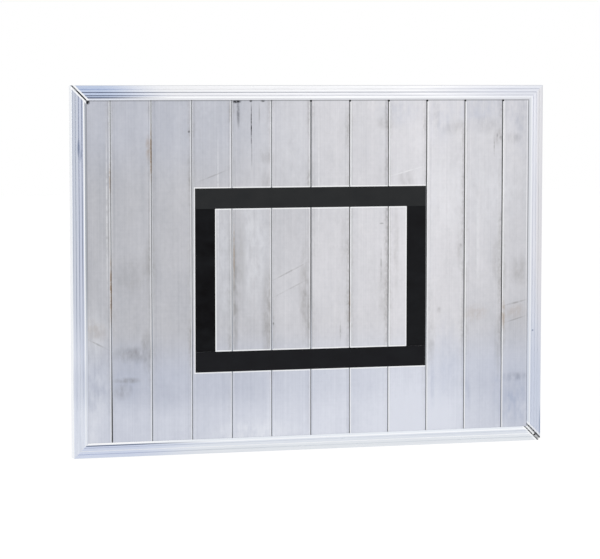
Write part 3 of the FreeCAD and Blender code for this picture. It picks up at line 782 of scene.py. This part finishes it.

# %% frame members
# each member's face, outer, side, ridge, bevel and groove tints are painted light and shade for how it is
# lit: the ridge is a painted highlight, dark at the left ends of the top and bottom members, the side wall is
# painted light on the left member and painted shade on the right, and a white groove tint is painted light
frame_looks = {
    "frame_top": {
        "name": "aluminium_drawn_top", "along": "X", "turn": (-540, -330), "face": ("#BDC9E1", "#F0F0F3"),
        "outer": "#F1F1F2", "side": "#D6D8DC", "cool": 0.08,
        "ridge": ("#454F69", "#F8F9FB"), "bevel": ("#DCE0EA", "#DFE0E4"), "groove": ("#3B4C74", "#B4B8C0"),
        "lines": ((0.0, 0.0), (0.0, 0.05), (0.78, 0.80), (0.95, 0.18)),
        "dull": ((600, 437, 330, 28, 0, 0.90),), "smudges_and_shade": (),
    },
    "frame_bottom": {
        "name": "aluminium_drawn_bottom", "along": "X", "turn": (-470, -220), "face": ("#CDD4E6", "#E1E5EC"),
        "outer": "#E2E5E8", "side": "#CFD3DA", "cool": 0.12,
        "ridge": ("#6E7890", "#F4F6FA"), "bevel": ("#FAFBFD", "#E6EAF0"), "groove": ("#FFFFFF", "#FFFFFF"),
        "lines": ((0.0, 0.0), (0.0, 0.0), (0.75, 0.75), (0.10, 0.10)), "dull": (), "smudges_and_shade": (),
    },
    "frame_left": {
        "name": "aluminium_drawn_left", "along": "Z", "turn": (-300, 40), "face": ("#DEE2EC", "#C8CDDD"),
        "outer": "#C9CED7", "side": "#F0F2F5", "cool": 0.35,
        "ridge": ("#ECEFF5", "#FBFCFD"), "bevel": ("#D6DAE4", "#A4A8B0"), "groove": ("#F6F8FC", "#7F899E"),
        "lines": ((0.0, 0.45), (0.50, 0.08), (0.50, 0.40), (0.40, 0.55)), "dull": (),
        "smudges_and_shade": ((-583, 300, 5, 26, 0, 0.6), (-578, 283, 4, 20, -8, 0.4), (-582, -270, 60, 70, 0, 0.15)),
    },
    "frame_right": {
        "name": "aluminium_drawn_right", "along": "Z", "turn": (-330, 60), "face": ("#CBD1E0", "#E0E1E8"),
        "outer": "#D8D6D7", "side": "#B2B8C3", "cool": 0.14,
        "ridge": ("#E8EBF1", "#ECEEF2"), "bevel": ("#D4DAE5", "#DADDE3"), "groove": ("#EEF1F7", "#C2C7D1"),
        "lines": ((0.0, 0.0), (0.30, 0.15), (0.30, 0.15), (0.30, 0.35)), "dull": (),
        # the second mark is painted shade down the outer edge near the bottom right corner
        "smudges_and_shade": ((577, -169, 3, 3, 0, 0.8), (600, -415, 5, 70, 0, 0.9)),
    },
}
for name, look in frame_looks.items():
    dress(name, frame_aluminium(look))
print("frame members dressed:", len(frame_looks))

# %% [markdown]
# ## The target rectangle: black vinyl film
#
# The rectangle is four strips of cast vinyl, rolled on by hand. Film that crosses an open joint sinks a
# little into it, so the two long strips carry faint upright lines. Flat boxes can't show that, so each
# strip is cut from a thin bar: the bar is sliced on both sides of each joint and along its middle, and the
# middle is pushed back.


# %% black vinyl
def black_vinyl(name, hex_code):
    """Almost black plastic with a soft sheen, faint cloudiness from the glue below and fine orange peel."""
    material, tree = new_material(name)
    coords = add(tree, "ShaderNodeTexCoord")["Object"]
    clouds = stretched_noise(tree, coords, 60 * MM, 40 * MM, 4.0)
    peel = stretched_noise(tree, coords, 1.5 * MM, 1.5 * MM, 2.0)
    faded = add(tree, "ShaderNodeMapRange", {}, {
        "Value": clouds, "From Min": 0.35, "From Max": 0.75, "To Min": 0.0, "To Max": 0.5,
    })[0]
    colour = add(tree, "ShaderNodeMix", COLOURS, {
        0: faded, 6: linear(hex_code), 7: linear("#222427"),
    })[2]
    roughness = add(tree, "ShaderNodeMapRange", {}, {
        "Value": clouds, "From Min": 0.3, "From Max": 0.7, "To Min": 0.42, "To Max": 0.55,
    })[0]
    bump = add(tree, "ShaderNodeBump", {}, {"Strength": 0.4, "Distance": 0.02 * MM, "Height": peel})[0]
    finish_surface(tree, {
        "Base Color": colour, "Roughness": roughness, "IOR": 1.5, "Specular IOR Level": 0.05, "Normal": bump,
    })
    return material


# each strip's black has its own tone: lighter at the top, darkest on the left
film_looks = {
    "target_strip_top": black_vinyl("vinyl_film_black_lighter", "#2D2E2F"),
    "target_strip_bottom": black_vinyl("vinyl_film_black", "#1A1A1D"),
    "target_strip_left": black_vinyl("vinyl_film_black_upright", "#080709"),
    "target_strip_right": black_vinyl("vinyl_film_black_right", "#151517"),
}
print("film finishes:", len(film_looks))

# %% film strips
joint_half = 1.9 * MM
film_dip = 0.35 * MM
film_seam = 0.1 * MM
cut_tolerance = 0.01 * MM
fold_tolerance = 0.05 * MM
joints = [joint_x + count * pitch for count in range(1 - planks_each_side, planks_each_side + 1)]


def film_strip(node):
    """A strip of film the size of its node, sunk a little where it crosses a joint."""
    low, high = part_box(node)
    if high.z - low.z > high.x - low.x:
        low.z += film_seam
    strip = bmesh.new()
    bar = Matrix.Translation((low + high) / 2) @ Matrix.Diagonal((*(high - low), 1))
    bmesh.ops.create_cube(strip, size=1.0, matrix=bar)
    crossed = [joint for joint in joints if low.x + joint_half < joint < high.x - joint_half]
    for joint in crossed:
        for cut in (joint - joint_half, joint, joint + joint_half):
            every = strip.verts[:] + strip.edges[:] + strip.faces[:]
            bmesh.ops.bisect_plane(
                strip, geom=every, plane_co=(cut, 0, 0), plane_no=(1, 0, 0), dist=cut_tolerance,
            )
    sunk = [v for v in strip.verts if any(abs(v.co.x - joint) < fold_tolerance for joint in crossed)]
    bmesh.ops.translate(strip, verts=sunk, vec=(0, film_dip, 0))
    return strip, len(crossed)


for node, look in film_looks.items():
    strip, crossings = film_strip(node)
    piece = add_piece(node.replace("target_strip", "vinyl_strip"), strip, look)
    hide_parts(node)

# %% [markdown]
# ## Behind the board: rails, cleats and fasteners
#
# The rails are mill-finish like the planks but sheltered from rain, so they stay cleaner. Rivets are rolled
# wire, and the threaded inserts are steel with a thin bright zinc coat. These finishes differ in colour,
# grain and gloss only, so one function makes them all.


# %% sheltered metals
def sheltered_metal(name, light, dark, grain, length, gloss):
    """Clean metal with grain of a given width and length along X, from gloss to a little duller."""
    material, tree = new_material(name)
    coords = add(tree, "ShaderNodeTexCoord")["Object"]
    lines = stretched_noise(tree, coords, length, grain, 3.0)
    clouds = stretched_noise(tree, coords, 120 * MM, 60 * MM, 4.0)
    tone = add(tree, "ShaderNodeMath", MULTIPLY, {0: lines, 1: clouds})[0]
    tone = add(tree, "ShaderNodeMapRange", {}, {
        "Value": tone, "From Min": 0.12, "From Max": 0.42, "To Min": 0.0, "To Max": 1.0,
    })[0]
    colour = add(tree, "ShaderNodeMix", COLOURS, {0: tone, 6: linear(dark), 7: linear(light)})[2]
    finish_metal(tree, colour, (clouds, 0.3, 0.7), (gloss, gloss + 0.14), lines, 0.02 * MM)
    return material


rail_metal = sheltered_metal("aluminium_extruded_clean", "#D3D4D7", "#B4B6BA", 3 * MM, 800 * MM, 0.34)
cleat_metal = sheltered_metal("aluminium_sawn", "#D8D9DB", "#A8AAAD", 1 * MM, 12 * MM, 0.40)
rivet_metal = sheltered_metal("aluminium_rolled_wire", "#D0D1D4", "#B0B2B5", 2 * MM, 2 * MM, 0.28)
zinc_steel = sheltered_metal("steel_zinc_plated", "#C9CCCF", "#9FA4A8", 2 * MM, 2 * MM, 0.24)
finishes = (("rear_rail", rail_metal), ("corner_cleat", cleat_metal), ("mounting_inserts", zinc_steel))
for name in nodes:
    for start, metal in finishes:
        if name.startswith(start):
            dress(name, metal)
    # rivets are named for what they hold, so they come last
    if name.endswith("rivets"):
        dress(name, rivet_metal)
print("rails, cleats, rivets and inserts dressed")

# %% [markdown]
# ## Rivet mandrels
#
# A blind rivet is pulled tight by a steel pin that snaps off in its head, so each head shows a steel dot.
# The heads are plain domes in the solids. A short blunt cone stands a little proud of each crown, all of
# them in one mesh, since the pieces are alike and small.

# %% rivet mandrels
mandrel_radius = 1.35 * MM
mandrel_tip_radius = 1.05 * MM
mandrel_height = 0.9 * MM
mandrel_proud = 0.25 * MM
mandrel_sides = 12
first_chamber = 12.8 * MM
last_chamber = 81.2 * MM
rail_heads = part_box("rear_rail_upper_rivets")[1].y
frame_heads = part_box("frame_rivets")[1].y
rail_rows = [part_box(f"rear_rail_{name}_rivets") for name in ("upper", "lower")]
head_radius = 4.75 * MM


def rivet_columns():
    """X of each plank's rivets: last chamber on the left half of the board, first on the right half."""
    columns = []
    for count in range(-planks_each_side, planks_each_side):
        inside = last_chamber if count < 0 else first_chamber
        columns.append(joint_x + count * pitch + inside)
    return columns


def row_places(low, high, heads):
    """Crowns of the two rows of rivets in a box that just holds them."""
    heights = (low.z + head_radius, high.z - head_radius)
    return [Vector((x, heads, z)) for x in rivet_columns() for z in heights]


crowns = row_places(*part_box("frame_rivets"), frame_heads)
for low, high in rail_rows:
    crowns += row_places(low, high, rail_heads)
mandrels = bmesh.new()
for crown in crowns:
    middle = crown + Vector((0, mandrel_proud - mandrel_height / 2, 0))
    turned = Matrix.Translation(middle) @ Matrix.Rotation(-math.pi / 2, 4, "X")
    bmesh.ops.create_cone(
        mandrels, cap_ends=True, segments=mandrel_sides, radius1=mandrel_radius, radius2=mandrel_tip_radius,
        depth=mandrel_height, matrix=turned,
    )
add_piece("rivet_mandrels", mandrels, zinc_steel)
print("mandrels:", len(crowns))

# %% [markdown]
# ## Threads in the inserts
#
# The mounting bolts screw into the inserts, and an empty insert shows its thread. The solids keep a plain
# bore of the bolt's size. A thread is a small blunt wedge swept round the axis while it climbs one pitch a
# turn, which is just what a spin with a step along its axis does.

# %% insert threads
bore_radius = 5 * MM
thread_pitch = 1.5 * MM
thread_height = 0.8 * MM
thread_turns = 12
steps_per_turn = 20
# corners of the thread's section, as shares of its height and pitch
thread_section = ((0, 0), (1, 0.35), (1, 0.50), (0, 0.85))
insert_low, insert_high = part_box("mounting_inserts")
flange_radius = 9 * MM
insert_places = [
    (x, z)
    for x in (insert_low.x + flange_radius, insert_high.x - flange_radius)
    for z in (insert_low.z + flange_radius, insert_high.z - flange_radius)
]
threads = bmesh.new()
for x, z in insert_places:
    start = insert_low.y + thread_pitch
    corners = [
        (x + bore_radius - inward * thread_height, start + along * thread_pitch, z)
        for inward, along in thread_section
    ]
    ring = [threads.verts.new(corner) for corner in corners]
    face = threads.faces.new(ring)
    bmesh.ops.spin(
        threads, geom=[face], cent=(x, 0, z), axis=(0, 1, 0), dvec=(0, thread_pitch / steps_per_turn, 0),
        angle=2 * math.pi * thread_turns, steps=steps_per_turn * thread_turns, use_duplicate=False,
    )
bmesh.ops.recalc_face_normals(threads, faces=threads.faces[:])
add_piece("insert_threads", threads, zinc_steel)
print("threads:", len(insert_places), "of", thread_turns, "turns")

# %% [markdown]
# ## Stage, light and camera
#
# The board hangs clear of a plain pale floor. A white world is what the camera and the metal see, and it
# lights the rest of the scene a little more softly. Three wide soft lights stand round the board: a weak
# one in front to the right, one far out on the left that models the edges, and one behind that keeps the
# rails from going flat.

# %% floor and world
floor_drop = 1.3
floor_half = 40.0
floor_lift = 0.14
world_light = 0.92


def seen_directly(tree, rays):
    """1 for the rays by which the floor or the world is seen, and 0 for those by which it gives light."""
    path = add(tree, "ShaderNodeLightPath")
    seen = 0.0
    for ray in rays:
        seen = add(tree, "ShaderNodeMath", MAXIMUM, {0: seen, 1: path[ray]})[0]
    return seen


floor_mesh = bmesh.new()
bmesh.ops.create_grid(
    floor_mesh, x_segments=1, y_segments=1, size=floor_half,
    matrix=Matrix.Translation((0, 0, cad_low.z - floor_drop)),
)
floor_data = bpy.data.meshes.new("floor")
floor_mesh.to_mesh(floor_data)
floor_mesh.free()
floor = bpy.data.objects.new("floor", floor_data)
bpy.context.scene.collection.objects.link(floor)
floor_paint, floor_tree = new_material("floor_matt_white_paint")
floor_seen = seen_directly(floor_tree, ("Is Camera Ray", "Is Glossy Ray"))
floor_glow = add(floor_tree, "ShaderNodeMath", MULTIPLY, {0: floor_seen, 1: floor_lift})[0]
finish_surface(floor_tree, {
    "Base Color": linear("#F9F9F9"), "Roughness": 0.9, "Specular IOR Level": 0.1,
    "Emission Color": linear("#FFFFFF"), "Emission Strength": floor_glow,
})
floor_data.materials.append(floor_paint)

world = bpy.data.worlds.new("white_studio")
bpy.context.scene.world = world
world.use_nodes = True
world_tree = world.node_tree
world_tree.nodes.clear()
world_seen = seen_directly(world_tree, ("Is Camera Ray", "Is Glossy Ray", "Is Transmission Ray"))
strength = add(world_tree, "ShaderNodeMapRange", {}, {
    "Value": world_seen, "To Min": world_light, "To Max": 1.0,
})[0]
sky = add(world_tree, "ShaderNodeBackground", {}, {"Color": linear("#FFFFFF"), "Strength": strength})[0]
add(world_tree, "ShaderNodeOutputWorld", {}, {"Surface": sky})
print("floor", floor_drop, "m below the board")

# %% lamps
board_middle = Vector((0, plank_front, 0))


def soft_light(name, place, size, power):
    """A square soft light that looks at the middle of the board."""
    data = bpy.data.lights.new(name, "AREA")
    data.shape = "SQUARE"
    data.size = size
    data.energy = power
    lamp = bpy.data.objects.new(name, data)
    lamp.location = place
    lamp.rotation_euler = (board_middle - Vector(place)).to_track_quat("-Z", "Y").to_euler()
    lamp.visible_camera = False
    bpy.context.scene.collection.objects.link(lamp)
    return lamp


soft_light("key_light_right", (1.9, -4.6, 1.3), 1.8, 5)
soft_light("fill_light_left", (-5.2, -2.0, 1.2), 2.0, 20)
soft_light("rear_light", (-2.6, 4.2, 2.4), 1.8, 25)
print("lamps: 3")

# %% camera
picture_width = 600
focal_pixels = 2444
camera_data = bpy.data.cameras.new("camera")
camera_data.sensor_width = 36
camera_data.lens = focal_pixels * camera_data.sensor_width / picture_width
camera_data.clip_end = 200
camera = bpy.data.objects.new("camera", camera_data)
camera.location = (-1.623, plank_front - 5.786, 0.466)
camera_target = Vector((-0.033, plank_front, -0.0273))
camera.rotation_euler = (camera_target - camera.location).to_track_quat("-Z", "Y").to_euler()
bpy.context.scene.collection.objects.link(camera)
bpy.context.scene.camera = camera
bpy.context.scene.view_settings.view_transform = "Standard"
print("lens", round(camera_data.lens, 1), "mm")
